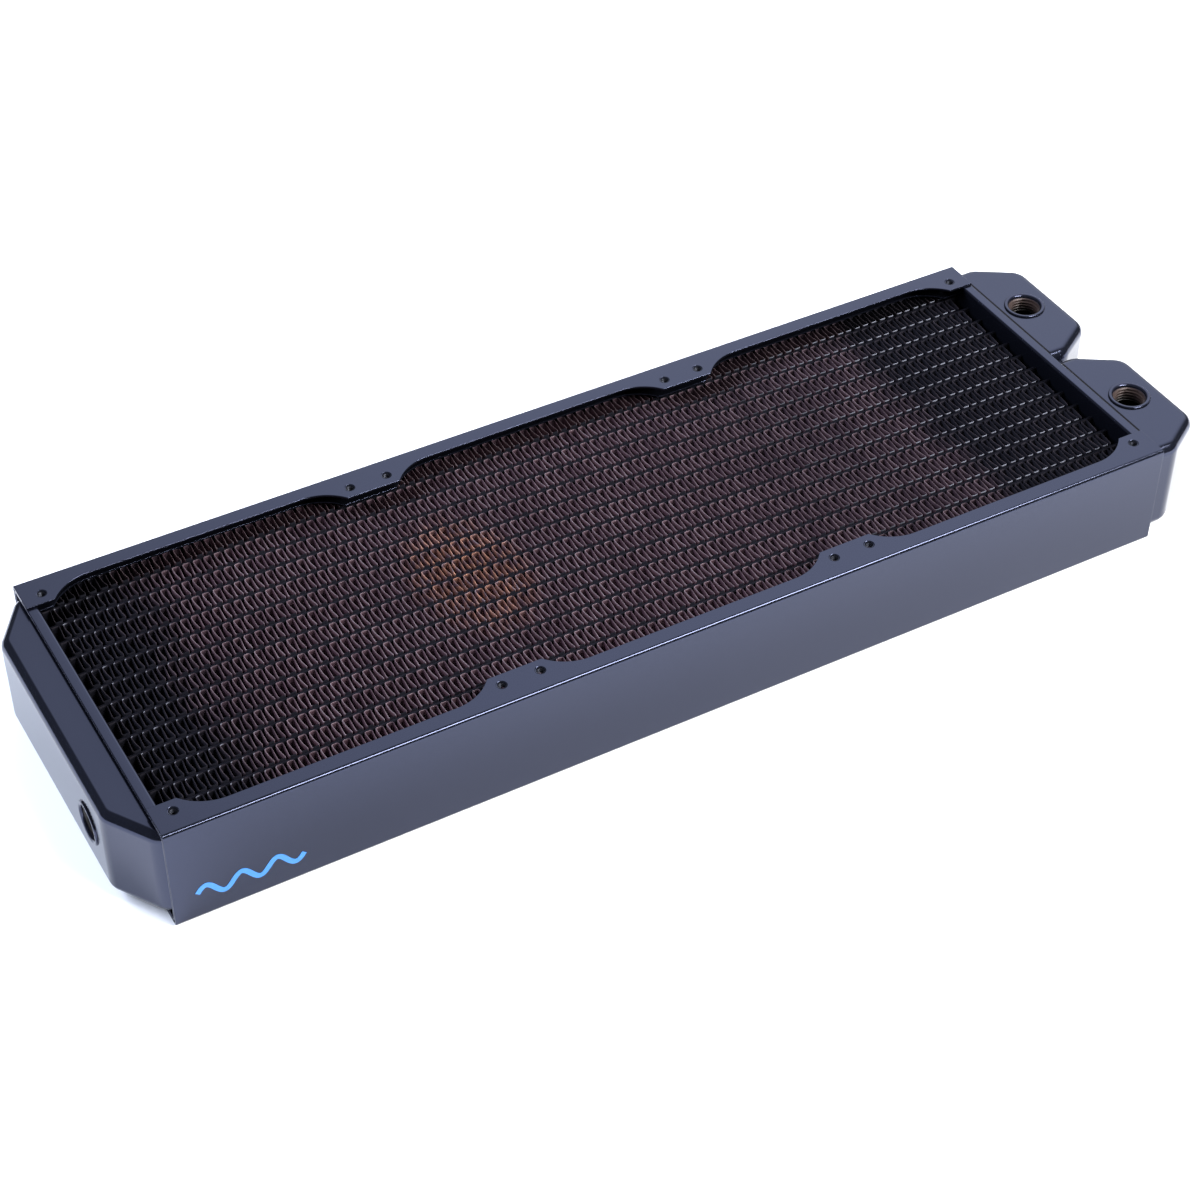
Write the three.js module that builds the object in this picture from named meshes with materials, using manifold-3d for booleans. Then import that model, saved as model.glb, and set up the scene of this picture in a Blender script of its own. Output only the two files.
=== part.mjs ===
// Liquid cooling radiator for three 140 mm fans, 45 mm thick, for a water-cooled computer.
//
// Frame: millimetres, +Z up. The origin is the middle of the overall footprint, on the face of the
// lower fan flanges. +X points to the end with the inlet and outlet tanks. -Y points to the long side
// that carries the printed mark. The pieces are drawn around the centre of the fan field, which lies
// nearer the return end, and the whole assembly is then moved along X.

import * as THREE from "three";
import { mergeVertices } from "three/addons/utils/BufferGeometryUtils.js";
import Module from "manifold-3d";

// Fan field
const FAN_COUNT = 3;
const FAN_PITCH = 140;
const HOLE_SPACING = 124.5; // between the screw holes of one fan
const HOLE_RADIUS = 1.5;
const HOLE_SINK_RADIUS = 2.3; // the dished mouth of each screw hole
const HOLE_SINK_DEPTH = 0.5;

// Side panels: sheet channels whose flanges carry the fans
const BODY_LENGTH = 420;
const BODY_WIDTH = 144;
const BODY_HEIGHT = 45;
const SHEET = 1;
const BEND_RADIUS = 1.5; // on the outside of the fold
const TAB_EDGE = 57; // flange edge beside the screw holes, from the long centre line
const NARROW_EDGE = 64.8; // flange edge along the middle of a fan
const CUSP_OFFSET = 3.3; // from a screw hole to the corner where the flange starts to narrow
const SCALLOP_RADIUS = 20;

// Core side plates: inner channels that keep a screw that is too long off the fins
const GUARD_DEPTH = 6; // from the fan flange down to the guard flange
const GUARD_SHEET = 0.8;
const GUARD_BEND_RADIUS = 1.2;
const GUARD_TAB_EDGE = 60.3;
const GUARD_NARROW_EDGE = 68.6;
const GUARD_LENGTH = 410.6;

// Core: flat tubes with a folded fin on each side of every tube
const TUBE_COUNT = 14;
const TUBE_PITCH = 9.44;
const TUBE_THICKNESS = 1.6;
const TUBE_DEPTH = 29;
const TUBE_WALL = 0.25;
const TUBE_LENGTH = 416.2;
const FIN_DEPTH = 30;
const FIN_LENGTH = 408;
const FIN_HALF_WIDTH = 3.87;
const FIN_THICKNESS = 0.45; // measured across the row; about three sheets of the real foil
const OUTER_FIN_SHIFT = 0.1; // centres the outermost fins between tube and side plate
const FIN_FOLDS = 32; // full waves along the core, one for every three of the real fin

// Headers: slotted pans that the tubes end in
const HEADER_FACE = 205.6; // core side of the header, from the middle of the radiator
const HEADER_SHEET = 1.5;
const HEADER_END = 210;
const HEADER_HALF_WIDTH = 70.9;
const HEADER_RIM = 1.1; // above and below the tanks
const HEADER_SIDE_RIM = 0.7;
const SLOT_GAP = 0.3;
const DIVIDER_THICKNESS = 2.4; // parts the inlet side of the pan from the outlet side
const DIVIDER_LENGTH = 3.6;

// Tanks
const TANK_MOUTH = 207.4; // where the tanks seat in the header pans
const TANK_WALL = 1.5;
const TANK_CORNER = 3.5;
const TANK_SIDE = 69.4;
const HORN_HEIGHT = 40.2; // the inlet and outlet tanks stand out like two horns
const HORN_EDGE_RADIUS = 4;
const HORN_INNER_SIDE = 1.5; // half of the gap between the two
const HORN_SHOULDER = 218.8; // where the corners start to taper
const HORN_END = 236.9;
const HORN_TAPER = 11.5;
const RETURN_HEIGHT = 38.6;
const RETURN_EDGE_RADIUS = 2.8;
const RETURN_SHOULDER = 210.6;
const RETURN_END = 223.7;
const RETURN_TAPER = 20.3;

// Ports: bushings for G1/4 fittings
const COLLAR_RADIUS = 8.5;
const COLLAR_HEIGHT = 0.7;
const BUSHING_RADIUS = 7.5;
const BUSHING_DEPTH = 7;
const BORE_RADIUS = 6.15;
const BORE_MOUTH_RADIUS = 6.9;
const PORT_X = 221.8;
const PORT_Y = 35.3;
const RETURN_PORT_Y = 32.5;

// Printed mark: a plain wave on the near side panel
const MARK_LENGTH = 40;
const MARK_AMPLITUDE = 3.4;
const MARK_WAVES = 3;
const MARK_STROKE = 1.4;
const MARK_STEPS = 30;
const MARK_THICKNESS = 0.12;
const MARK_CENTRE_X = -181;
const MARK_CENTRE_Z = 12;

const MID_HEIGHT = BODY_HEIGHT / 2;

const wasm = await Module();
wasm.setup();

const painted = () =>
  new THREE.MeshStandardMaterial({ color: 0x2b2e3b, roughness: 0.42, metalness: 0.35 });
const finCopper = () =>
  new THREE.MeshStandardMaterial({ color: 0x4b3029, roughness: 0.5, metalness: 0.7 });
const tubeCopper = () =>
  new THREE.MeshStandardMaterial({ color: 0x3a2f33, roughness: 0.5, metalness: 0.6 });
const brass = () =>
  new THREE.MeshStandardMaterial({ color: 0x7a5440, roughness: 0.35, metalness: 0.85 });
const bluePrint = () =>
  new THREE.MeshStandardMaterial({ color: 0x4f9df0, roughness: 0.5, metalness: 0 });

const root = new THREE.Group();
const assembly = new THREE.Group();
assembly.position.x = (RETURN_END - HORN_END) / 2;
root.add(assembly);

function addMesh(group, name, geometry, material) {
  const mesh = new THREE.Mesh(geometry, material);
  mesh.name = name;
  group.add(mesh);
  return mesh;
}

// ---- Joining and cutting -------------------------------------------------------------------------

function toSolid(geometry) {
  const bare = geometry.clone();
  bare.deleteAttribute("normal");
  bare.deleteAttribute("uv");
  const merged = mergeVertices(bare, 1e-4);
  const mesh = new wasm.Mesh({
    numProp: 3,
    vertProperties: merged.attributes.position.array,
    triVerts: new Uint32Array(merged.index.array),
  });
  return new wasm.Manifold(mesh);
}

function toGeometry(solid) {
  const mesh = solid.getMesh();
  const indexed = new THREE.BufferGeometry();
  indexed.setAttribute("position", new THREE.BufferAttribute(mesh.vertProperties, 3));
  indexed.setIndex(new THREE.BufferAttribute(mesh.triVerts, 1));
  const geometry = indexed.toNonIndexed();
  geometry.computeVertexNormals();
  return geometry;
}

function cut(geometry, tools) {
  let solid = toSolid(geometry);
  for (const tool of tools) {
    solid = solid.subtract(toSolid(tool));
  }
  return toGeometry(solid);
}

// ---- Basic shapes --------------------------------------------------------------------------------

// A prism that stands on z = 0.
function prism(shape, height, curveSegments = 5) {
  return new THREE.ExtrudeGeometry(shape, { depth: height, bevelEnabled: false, curveSegments });
}

// A section drawn in the YZ plane, swept along X from x0 to x1.
function sweepAlongX(shape, x0, x1, curveSegments = 2) {
  const geometry = prism(shape, x1 - x0, curveSegments);
  const axes = new THREE.Matrix4().makeBasis(
    new THREE.Vector3(0, 1, 0),
    new THREE.Vector3(0, 0, 1),
    new THREE.Vector3(1, 0, 0),
  );
  return geometry.applyMatrix4(axes).translate(x0, 0, 0);
}

function roundedRectangle(halfWidth, low, high, radius) {
  const shape = new THREE.Shape();
  shape.absarc(halfWidth - radius, low + radius, radius, -Math.PI / 2, 0);
  shape.absarc(halfWidth - radius, high - radius, radius, 0, Math.PI / 2);
  shape.absarc(radius - halfWidth, high - radius, radius, Math.PI / 2, Math.PI);
  shape.absarc(radius - halfWidth, low + radius, radius, Math.PI, Math.PI * 1.5);
  shape.closePath();
  return shape;
}

// A slot with round ends, its long axis along the second coordinate.
function obround(thickness, length, centre, low) {
  const radius = thickness / 2;
  const shape = new THREE.Shape();
  shape.absarc(centre, low + length - radius, radius, 0, Math.PI);
  shape.absarc(centre, low + radius, radius, Math.PI, Math.PI * 2);
  shape.closePath();
  return shape;
}

// A polygon whose first and last corners stay sharp and whose other corners are rounded.
function roundedPolygon(corners, radius) {
  const shape = new THREE.Shape();
  const last = corners.length - 1;
  shape.moveTo(corners[0].x, corners[0].y);
  for (let i = 1; i < last; i++) {
    const corner = corners[i];
    const start = corner.clone().add(corners[i - 1].clone().sub(corner).setLength(radius));
    const end = corner.clone().add(corners[i + 1].clone().sub(corner).setLength(radius));
    shape.lineTo(start.x, start.y);
    shape.quadraticCurveTo(corner.x, corner.y, end.x, end.y);
  }
  shape.lineTo(corners[last].x, corners[last].y);
  shape.closePath();
  return shape;
}

// ---- Side panels and core side plates ------------------------------------------------------------

// C section on the -Y side, open towards the centre line.
function channelSection(outer, edge, low, high, sheet, radius) {
  const inner = radius - sheet;
  const shape = new THREE.Shape();
  shape.moveTo(-edge, high);
  shape.lineTo(radius - outer, high);
  shape.absarc(radius - outer, high - radius, radius, Math.PI / 2, Math.PI);
  shape.absarc(radius - outer, low + radius, radius, Math.PI, Math.PI * 1.5);
  shape.lineTo(-edge, low);
  shape.lineTo(-edge, low + sheet);
  shape.absarc(radius - outer, low + radius, inner, Math.PI * 1.5, Math.PI, true);
  shape.absarc(radius - outer, high - radius, inner, Math.PI, Math.PI / 2, true);
  shape.lineTo(-edge, high - sheet);
  shape.closePath();
  return shape;
}

// What a fan bay takes out of both flanges on the -Y side: the edge runs from each screw tab through
// a round shoulder to the narrow part of the flange.
function bayCutter(centreX, tabEdge, narrowEdge) {
  const cusp = HOLE_SPACING / 2 - CUSP_OFFSET;
  const rise = SCALLOP_RADIUS - (narrowEdge - tabEdge);
  const shoulder = cusp - Math.sqrt(SCALLOP_RADIUS ** 2 - rise ** 2);
  const arcCentre = SCALLOP_RADIUS - narrowEdge;
  const start = Math.atan2(rise, cusp - shoulder);
  const shape = new THREE.Shape();
  shape.moveTo(cusp, 1 - tabEdge);
  shape.lineTo(-cusp, 1 - tabEdge);
  shape.absarc(-shoulder, arcCentre, SCALLOP_RADIUS, Math.PI + start, Math.PI * 1.5);
  shape.absarc(shoulder, arcCentre, SCALLOP_RADIUS, Math.PI * 1.5, Math.PI * 2 - start);
  shape.closePath();
  return prism(shape, BODY_HEIGHT + 2, 5).translate(centreX, 0, -1);
}

function fanCentres() {
  return Array.from({ length: FAN_COUNT }, (_, i) => (i - (FAN_COUNT - 1) / 2) * FAN_PITCH);
}

// One screw hole through both flanges, with a dished mouth on each outer face.
function screwHoleCutter(x) {
  const reach = 0.5;
  const slope = (HOLE_SINK_RADIUS - HOLE_RADIUS) / HOLE_SINK_DEPTH;
  const mouth = HOLE_SINK_RADIUS + slope * reach;
  const profile = [
    new THREE.Vector2(0, -reach),
    new THREE.Vector2(mouth, -reach),
    new THREE.Vector2(HOLE_RADIUS, HOLE_SINK_DEPTH),
    new THREE.Vector2(HOLE_RADIUS, BODY_HEIGHT - HOLE_SINK_DEPTH),
    new THREE.Vector2(mouth, BODY_HEIGHT + reach),
    new THREE.Vector2(0, BODY_HEIGHT + reach),
  ];
  return new THREE.LatheGeometry(profile, 10)
    .rotateX(Math.PI / 2)
    .translate(x, -HOLE_SPACING / 2, 0);
}

function sidePanelGeometry() {
  const section = channelSection(BODY_WIDTH / 2, TAB_EDGE, 0, BODY_HEIGHT, SHEET, BEND_RADIUS);
  const channel = sweepAlongX(section, -BODY_LENGTH / 2, BODY_LENGTH / 2);
  const bays = fanCentres().map((x) => bayCutter(x, TAB_EDGE, NARROW_EDGE));
  const holes = fanCentres().flatMap((x) => [
    screwHoleCutter(x - HOLE_SPACING / 2),
    screwHoleCutter(x + HOLE_SPACING / 2),
  ]);
  return cut(channel, [...bays, ...holes]);
}

function coreSideGeometry() {
  const section = channelSection(
    BODY_WIDTH / 2 - SHEET,
    GUARD_TAB_EDGE,
    GUARD_DEPTH,
    BODY_HEIGHT - GUARD_DEPTH,
    GUARD_SHEET,
    GUARD_BEND_RADIUS,
  );
  const channel = sweepAlongX(section, -GUARD_LENGTH / 2, GUARD_LENGTH / 2);
  return cut(
    channel,
    fanCentres().map((x) => bayCutter(x, GUARD_TAB_EDGE, GUARD_NARROW_EDGE)),
  );
}

for (const [side, turn] of [
  ["near", 0],
  ["far", Math.PI],
]) {
  addMesh(assembly, `side_panel_${side}`, sidePanelGeometry(), painted()).rotation.z = turn;
  addMesh(assembly, `core_side_plate_${side}`, coreSideGeometry(), painted()).rotation.z = turn;
}

// ---- Core ----------------------------------------------------------------------------------------

function tubeCentre(i) {
  return (i - (TUBE_COUNT - 1) / 2) * TUBE_PITCH;
}

function tubeGeometry(y) {
  const low = MID_HEIGHT - TUBE_DEPTH / 2;
  const section = obround(TUBE_THICKNESS, TUBE_DEPTH, y, low);
  const bore = obround(TUBE_THICKNESS - 2 * TUBE_WALL, TUBE_DEPTH - 2 * TUBE_WALL, y, low + TUBE_WALL);
  section.holes.push(bore);
  return sweepAlongX(section, -TUBE_LENGTH / 2, TUBE_LENGTH / 2);
}

// A folded strip: its edge is a zigzag across the row, its depth stands along Z.
function finGeometry(y) {
  const steps = FIN_FOLDS * 2;
  const amplitude = FIN_HALF_WIDTH - FIN_THICKNESS / 2;
  const edge = (offset) =>
    Array.from({ length: steps + 1 }, (_, k) => {
      const x = (k / steps - 0.5) * FIN_LENGTH;
      const wave = k % 2 ? amplitude : -amplitude;
      return new THREE.Vector2(x, y + wave + offset);
    });
  const outline = [...edge(-FIN_THICKNESS / 2), ...edge(FIN_THICKNESS / 2).reverse()];
  return prism(new THREE.Shape(outline), FIN_DEPTH).translate(0, 0, MID_HEIGHT - FIN_DEPTH / 2);
}

for (let i = 0; i < TUBE_COUNT; i++) {
  const number = String(i + 1).padStart(2, "0");
  addMesh(assembly, `flat_tube_${number}`, tubeGeometry(tubeCentre(i)), tubeCopper());
}

for (let i = 0; i <= TUBE_COUNT; i++) {
  const number = String(i + 1).padStart(2, "0");
  const outermost = i === 0 || i === TUBE_COUNT;
  const shift = outermost ? OUTER_FIN_SHIFT * Math.sign(i - TUBE_COUNT / 2) : 0;
  const y = tubeCentre(i - 0.5) + shift;
  addMesh(assembly, `fin_strip_${number}`, finGeometry(y), finCopper());
}

// ---- Headers -------------------------------------------------------------------------------------

function headerGeometry() {
  const rim = roundedRectangle(HEADER_HALF_WIDTH, SHEET, BODY_HEIGHT - SHEET, 2);
  const pan = sweepAlongX(rim, HEADER_FACE, HEADER_END);
  const pocketShape = roundedRectangle(
    HEADER_HALF_WIDTH - HEADER_SIDE_RIM,
    SHEET + HEADER_RIM,
    BODY_HEIGHT - SHEET - HEADER_RIM,
    1.5,
  );
  const pocket = sweepAlongX(pocketShape, HEADER_FACE + HEADER_SHEET, HEADER_END + 1);
  const thickness = TUBE_THICKNESS + 2 * SLOT_GAP;
  const depth = TUBE_DEPTH + 2 * SLOT_GAP;
  const slots = Array.from({ length: TUBE_COUNT }, (_, i) => {
    const slot = obround(thickness, depth, tubeCentre(i), MID_HEIGHT - depth / 2);
    return sweepAlongX(slot, HEADER_FACE - 1, HEADER_FACE + HEADER_SHEET + 1);
  });
  return cut(pan, [pocket, ...slots]);
}

function dividerGeometry() {
  const plate = new THREE.BoxGeometry(DIVIDER_LENGTH, DIVIDER_THICKNESS, HORN_HEIGHT);
  return plate.translate(HEADER_FACE + HEADER_SHEET + DIVIDER_LENGTH / 2, 0, MID_HEIGHT);
}

// ---- Tanks and ports -----------------------------------------------------------------------------

// Turns a piece whose axis is +Z onto the outward normal of the face that it sits on.
function pointAlong(geometry, normal) {
  const turn = new THREE.Quaternion().setFromUnitVectors(new THREE.Vector3(0, 0, 1), normal);
  return geometry.applyQuaternion(turn);
}

function bushingGeometry(normal) {
  const chamfer = 0.2;
  const profile = [
    new THREE.Vector2(BORE_RADIUS, -BUSHING_DEPTH),
    new THREE.Vector2(BUSHING_RADIUS, -BUSHING_DEPTH),
    new THREE.Vector2(BUSHING_RADIUS, 0),
    new THREE.Vector2(COLLAR_RADIUS, 0),
    new THREE.Vector2(COLLAR_RADIUS, COLLAR_HEIGHT - chamfer),
    new THREE.Vector2(COLLAR_RADIUS - chamfer, COLLAR_HEIGHT),
    new THREE.Vector2(BORE_MOUTH_RADIUS, COLLAR_HEIGHT),
    new THREE.Vector2(BORE_RADIUS, 0),
    new THREE.Vector2(BORE_RADIUS, -BUSHING_DEPTH),
  ];
  const ring = new THREE.LatheGeometry(profile, 20).rotateX(Math.PI / 2);
  return pointAlong(ring, normal);
}

function portHoleCutter(port) {
  const drill = new THREE.CylinderGeometry(BUSHING_RADIUS + 0.3, BUSHING_RADIUS + 0.3, 8, 20);
  const placed = pointAlong(drill.rotateX(Math.PI / 2), port.normal);
  return placed.translate(port.position.x, port.position.y, port.position.z);
}

// A deep-drawn box, open towards the header. Its corners are drawn in plan.
function tankGeometry(corners, height, edgeRadius, ports) {
  const outline = roundedPolygon(corners, TANK_CORNER);
  const low = MID_HEIGHT - height / 2;
  const block = new THREE.ExtrudeGeometry(outline, {
    depth: height - 2 * edgeRadius,
    bevelSize: edgeRadius,
    bevelThickness: edgeRadius,
    bevelOffset: -edgeRadius,
    bevelSegments: 3,
    curveSegments: 3,
  }).translate(0, 0, low + edgeRadius);
  const innerRadius = edgeRadius - TANK_WALL;
  const hollow = new THREE.ExtrudeGeometry(outline, {
    depth: height - 2 * edgeRadius,
    bevelSize: innerRadius,
    bevelThickness: innerRadius,
    bevelOffset: -edgeRadius,
    bevelSegments: 2,
    curveSegments: 2,
  }).translate(0, 0, low + edgeRadius);
  const trim = new THREE.BoxGeometry(40, BODY_WIDTH + 10, BODY_HEIGHT + 10);
  trim.translate(TANK_MOUTH - 20, 0, MID_HEIGHT);
  return cut(block, [hollow, trim, ...ports.map(portHoleCutter)]);
}

function tankCorners(innerSide, outerSide, shoulder, end, taper) {
  const behindMouth = HEADER_FACE - 12;
  return [
    new THREE.Vector2(behindMouth, innerSide),
    new THREE.Vector2(shoulder, innerSide),
    new THREE.Vector2(end, innerSide + taper),
    new THREE.Vector2(end, outerSide - taper),
    new THREE.Vector2(shoulder, outerSide),
    new THREE.Vector2(behindMouth, outerSide),
  ];
}

function addTank(group, name, geometry, ports) {
  addMesh(group, name, geometry, painted());
  for (const port of ports) {
    const bushing = addMesh(group, port.name, bushingGeometry(port.normal), brass());
    bushing.position.copy(port.position);
  }
}

const top = MID_HEIGHT + HORN_HEIGHT / 2;
const bottom = MID_HEIGHT - HORN_HEIGHT / 2;
const up = new THREE.Vector3(0, 0, 1);
const down = new THREE.Vector3(0, 0, -1);
const outwards = new THREE.Vector3(1, 0, 0);

const connectionEnd = new THREE.Group();
addMesh(connectionEnd, "header_connection_end", headerGeometry(), painted());
addMesh(connectionEnd, "tank_divider", dividerGeometry(), painted());
for (const [use, side] of [
  ["inlet", -1],
  ["outlet", 1],
]) {
  const sides = [side * HORN_INNER_SIDE, side * TANK_SIDE].sort((a, b) => a - b);
  const corners = tankCorners(sides[0], sides[1], HORN_SHOULDER, HORN_END, HORN_TAPER);
  const y = side * PORT_Y;
  const ports = [
    { name: `${use}_port_top`, position: new THREE.Vector3(PORT_X, y, top), normal: up },
    { name: `${use}_port_bottom`, position: new THREE.Vector3(PORT_X, y, bottom), normal: down },
    { name: `${use}_port_end`, position: new THREE.Vector3(HORN_END, y, MID_HEIGHT), normal: outwards },
  ];
  addTank(connectionEnd, `${use}_tank`, tankGeometry(corners, HORN_HEIGHT, HORN_EDGE_RADIUS, ports), ports);
}
assembly.add(connectionEnd);

// The return end is drawn like the connection end and turned half a turn.
const returnEnd = new THREE.Group();
addMesh(returnEnd, "header_return_end", headerGeometry(), painted());
const returnCorners = tankCorners(-TANK_SIDE, TANK_SIDE, RETURN_SHOULDER, RETURN_END, RETURN_TAPER);
const returnPorts = [
  {
    name: "return_port",
    position: new THREE.Vector3(RETURN_END, RETURN_PORT_Y, MID_HEIGHT),
    normal: outwards,
  },
];
const returnShell = tankGeometry(returnCorners, RETURN_HEIGHT, RETURN_EDGE_RADIUS, returnPorts);
addTank(returnEnd, "return_tank", returnShell, returnPorts);
returnEnd.rotation.z = Math.PI;
assembly.add(returnEnd);

// ---- Printed mark --------------------------------------------------------------------------------

function markGeometry() {
  const left = [];
  const right = [];
  for (let k = 0; k <= MARK_STEPS; k++) {
    const along = (k / MARK_STEPS - 0.5) * MARK_LENGTH;
    const phase = (k / MARK_STEPS) * MARK_WAVES * Math.PI * 2;
    const slope = ((MARK_WAVES * Math.PI * 2) / MARK_LENGTH) * MARK_AMPLITUDE * Math.cos(phase);
    const point = new THREE.Vector2(along, MARK_AMPLITUDE * Math.sin(phase));
    const normal = new THREE.Vector2(-slope, 1).setLength(MARK_STROKE / 2);
    left.push(point.clone().add(normal));
    right.push(point.clone().sub(normal));
  }
  const outline = new THREE.Shape([...right, ...left.reverse()]);
  return prism(outline, MARK_THICKNESS).rotateX(Math.PI / 2);
}

addMesh(assembly, "printed_mark", markGeometry(), bluePrint()).position.set(
  MARK_CENTRE_X,
  -BODY_WIDTH / 2,
  MARK_CENTRE_Z,
);

export default root;
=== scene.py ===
"""Looks of the liquid cooling radiator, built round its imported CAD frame.

Lengths are millimetres here and turn into metres when a mesh is made. Every piece takes its place from
the CAD node that it stands for, so nothing is fitted by eye.
"""

import math
import random

import bmesh
import bpy
from mathutils import Matrix, Vector


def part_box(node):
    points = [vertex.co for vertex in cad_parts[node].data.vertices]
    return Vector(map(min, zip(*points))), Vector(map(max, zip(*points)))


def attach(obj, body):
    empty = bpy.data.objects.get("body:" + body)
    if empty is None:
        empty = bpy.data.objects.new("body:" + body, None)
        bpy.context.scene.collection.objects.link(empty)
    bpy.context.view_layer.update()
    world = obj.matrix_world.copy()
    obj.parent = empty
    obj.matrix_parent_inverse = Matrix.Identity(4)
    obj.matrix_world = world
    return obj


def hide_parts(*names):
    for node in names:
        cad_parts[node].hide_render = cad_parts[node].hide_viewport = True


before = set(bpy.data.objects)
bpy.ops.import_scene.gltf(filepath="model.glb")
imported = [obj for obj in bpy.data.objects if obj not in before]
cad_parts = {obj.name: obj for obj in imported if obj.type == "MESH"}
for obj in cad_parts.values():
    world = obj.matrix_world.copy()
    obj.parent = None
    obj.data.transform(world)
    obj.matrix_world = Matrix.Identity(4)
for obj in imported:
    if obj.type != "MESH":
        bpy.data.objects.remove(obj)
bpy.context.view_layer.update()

MM = 0.001
SEED = 11

# Mesh clean-up: points closer than this become one, and edges that turn by more degrees are rounded
WELD_DISTANCE = 0.001
ROUNDED_FROM = 35

# Counts that the frame's node names follow
TUBE_NODES = [f"flat_tube_{number:02d}" for number in range(1, 15)]
FIN_NODES = [f"fin_strip_{number:02d}" for number in range(1, 16)]

# Sheet metal
SHEET = 1.0
BEND_RADIUS = 1.5
BEND_STEPS = 10
EDGE_ROUNDING = 0.26
FAN_PITCH = 140.0
HOLE_SPACING = 124.5
TAB_EDGE = 57.0
NARROW_EDGE = 64.8
CUSP_OFFSET = 3.3
SCALLOP_RADIUS = 20.0
SCALLOP_STEPS = 26
GUARD_SHEET = 0.8
GUARD_BEND_RADIUS = 1.2
GUARD_TAB_EDGE = 60.3
GUARD_NARROW_EDGE = 68.6
CUT_OVERSHOOT = 2.0

# Screw holes: a dished mouth over a pulled collar with an M3 thread
DISH_RADIUS = 2.1
DISH_LIP = 0.05
DISH_SLOPE_DEPTH = 0.15
DISH_DEPTH = 0.55
THREAD_MAJOR = 1.5
THREAD_MINOR = 1.25
THREAD_PITCH = 0.5
THREAD_ENTRY = 0.14
THREAD_RELIEF = 0.05
CUT_FLARE = 0.3
HOLE_MARGIN = 0.02
COLLAR_RADIUS = 2.15
COLLAR_REACH = 2.3
COLLAR_CHAMFER = 0.2
HOLE_STEPS = 40
# Painted shade: how deep in a screw hole the paint starts and finishes going dark
HOLE_SHADE_DEPTHS = (0.36, 0.51)

# Tubes
TUBE_WALL = 0.25
TUBE_STEPS = 10
SLOT_GAP = 0.12
SLOT_OVERSHOOT = 1.0

# Fins: foil folded into a serpentine
# Each fold is an arch that is wider at its crest than at its foot, because the legs lean back
FIN_FOLDS = 96
FOLD_SQUEEZE = 0.998
FOIL = 0.30
FOIL_EDGE_CUT = 0.6
FOIL_POINTS = 6
FAR_CREST = 3.05
NEAR_CREST = 3.15
RIGHT_LEG_LEAN = 0.5
LEFT_LEG_BOW = 0.3
CREST_ROUNDING = 0.8
CORNER_STEPS = 4
LEAN_PLAY = 0.22
CREST_PLAY = 0.2
FOOT_PLAY = 0.16
DEPTH_PLAY = 0.06

# How scuffed and how brightly highlit the top edges of a fold's parts are, and how unevenly. Part of it
# is wear, and part is a painted highlight that differs with the way each part of the fold faces
FAR_CREST_WEAR_AND_HIGHLIGHT = 0.38
LEFT_LEG_WEAR_AND_HIGHLIGHT = (0.95, -0.4)
RIGHT_LEG_WEAR_AND_HIGHLIGHT = (0.12, 0.8)
CORNERS_PER_RUB_AND_HIGHLIGHT = 5
RUB_AND_HIGHLIGHT_RANGE = (0.5, 1.25)
# How strongly a leg takes the painted shade of its near pocket, drawn every few folds
POCKET_SHADE_RANGE = (0.75, 1.0)

# Painted glints on the black ends of the core: small highlights at the left far corners and on the near
# crests at the right
CORNER_GLINT = 0.8
CORNER_GLINT_FROM = (163, 175)
CORNER_GLINT_REACH = 0.12
CREST_GLINT_FROM = (70, 150)
CREST_GLINT_REACH = 0.9
GLINT_LIFT = 0.2

# Headers
HEADER_CORNER = 2.0
HEADER_CORNER_LEAST = 0.6
HEADER_CORNER_STEPS = 8
HEADER_CORE_BEND = 1.0
HEADER_BEND_STEPS = 6
HEADER_LIP = 0.5
HEADER_LIP_STEPS = 4
HEADER_RIM = 1.1
HEADER_SHEET = 1.5
HEADER_INNER_BEND = 0.6

# Tanks
TANK_WALL = 1.5
TANK_CORNER = 8.4
TANK_CORNER_STEPS = 10
HORN_EDGE_RADIUS = 4.0
HORN_SHOULDER_BACK = 18.1
HORN_TAPER = 11.5
RETURN_EDGE_RADIUS = 3.5
RETURN_SHOULDER_BACK = 13.1
RETURN_TAPER = 20.3
EDGE_STEPS = 8
DIVIDER_ROUNDING = 0.3

# Ports: G1/4 thread in a crowned ring
RING_RADIUS = 8.5
RING_HEIGHT = 0.7
RING_ROUNDING = 0.5
RING_STEPS = 6
LAND_RADIUS = 7.7
MOUTH_GAP = 0.02
MOUTH_STEPS = 7
MOUTH_SINK = 0.1
MOUTH_FOOT_INSET = 0.05
MOUTH_FOOT_DEPTH = 0.35
PORT_MAJOR = 6.58
PORT_MINOR = 5.72
PORT_PITCH = 1.337
PORT_STEPS = 72
THREAD_START = 0.5
THREAD_RUN_OUT = 0.4
THREAD_STEPS = 50
RIDGE_HEIGHT = 1.6
RIDGE_SLOPE = 4.6
RIDGE_ENTRY = 0.6
BUSHING_RADIUS = 7.5
BUSHING_DEPTH = 7.0
BUSHING_GAP = 0.3
DRILL_REACH = 4.0
BARE_DEPTHS = (0.1, 0.7)
# Painted shade in a port's thread: it darkens between these depths, and a port that doesn't face up is
# shaded this much throughout
THREAD_SHADE_DEPTHS = (3.0, 6.0)
SHELTERED_SHADE = 0.85

# Printed mark
MARK_STROKE = 2.1
MARK_LENGTH = 40.0
MARK_WAVES = 3
MARK_STEPS = 120

# Floor. It fades out between two distances in metres
FLOOR_HALF = 6000
FLOOR_LEVEL = -0.05
FLOOR_FADE = (1.0, 2.6)

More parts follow.
